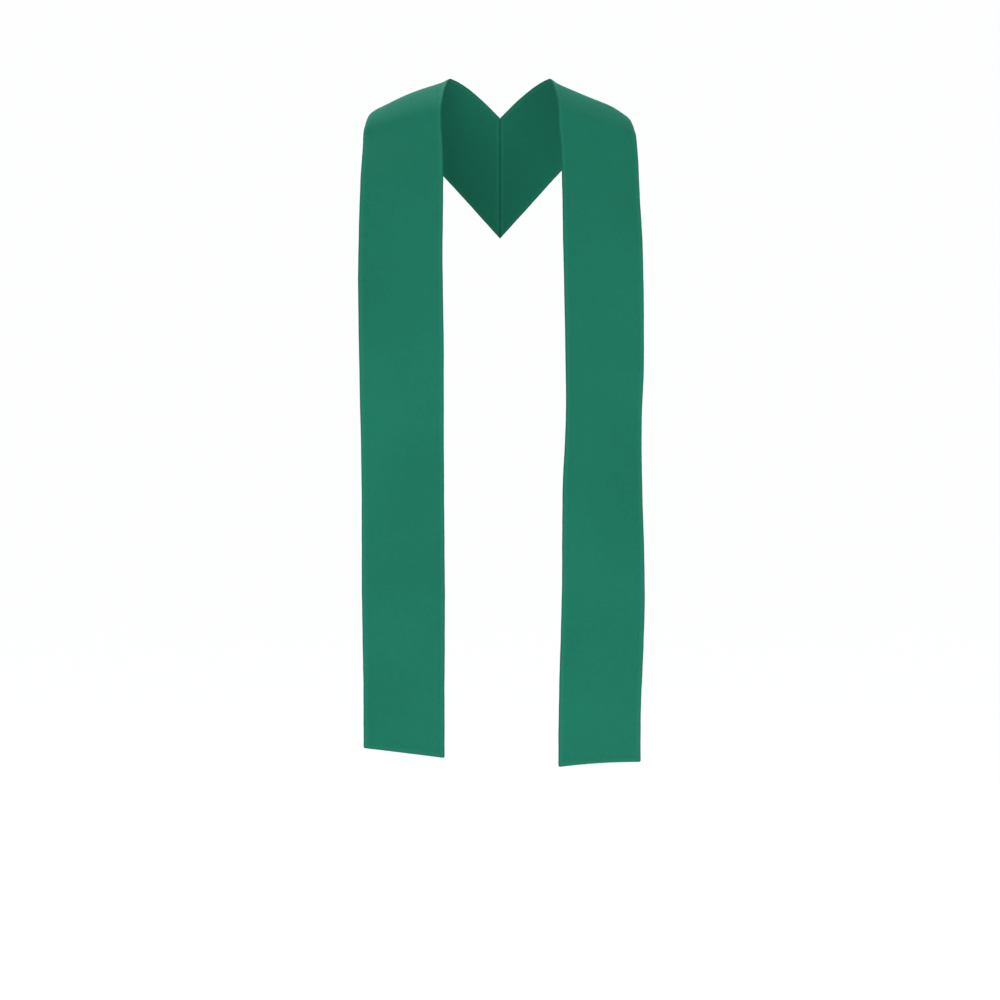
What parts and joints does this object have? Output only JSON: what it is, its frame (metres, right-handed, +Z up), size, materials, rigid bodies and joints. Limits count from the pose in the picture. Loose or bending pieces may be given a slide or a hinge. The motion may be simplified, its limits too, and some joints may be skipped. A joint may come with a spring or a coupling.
{
  "type": "clerical stole",
  "caption": "Plain clerical stole, worn: straight bands of cloth hang from the shoulders to below the waist and meet in a mitred seam at the centre back.",
  "frame": {"origin": "midway between the tops of the shoulders, where the wearer's neck comes through", "axes": "+Z up, -Y to the wearer's front, +X to the wearer's left"},
  "size_m": [0.4485, 0.2697, 1.0845],
  "materials": {
    "band_right": "plain woven matt polyester, pressed edges",
    "band_left": "plain woven matt polyester, pressed edges"
  },
  "bodies": {
    "root": {"band_right": "band_right", "band_left": "band_left"}
  },
  "joints": []
}
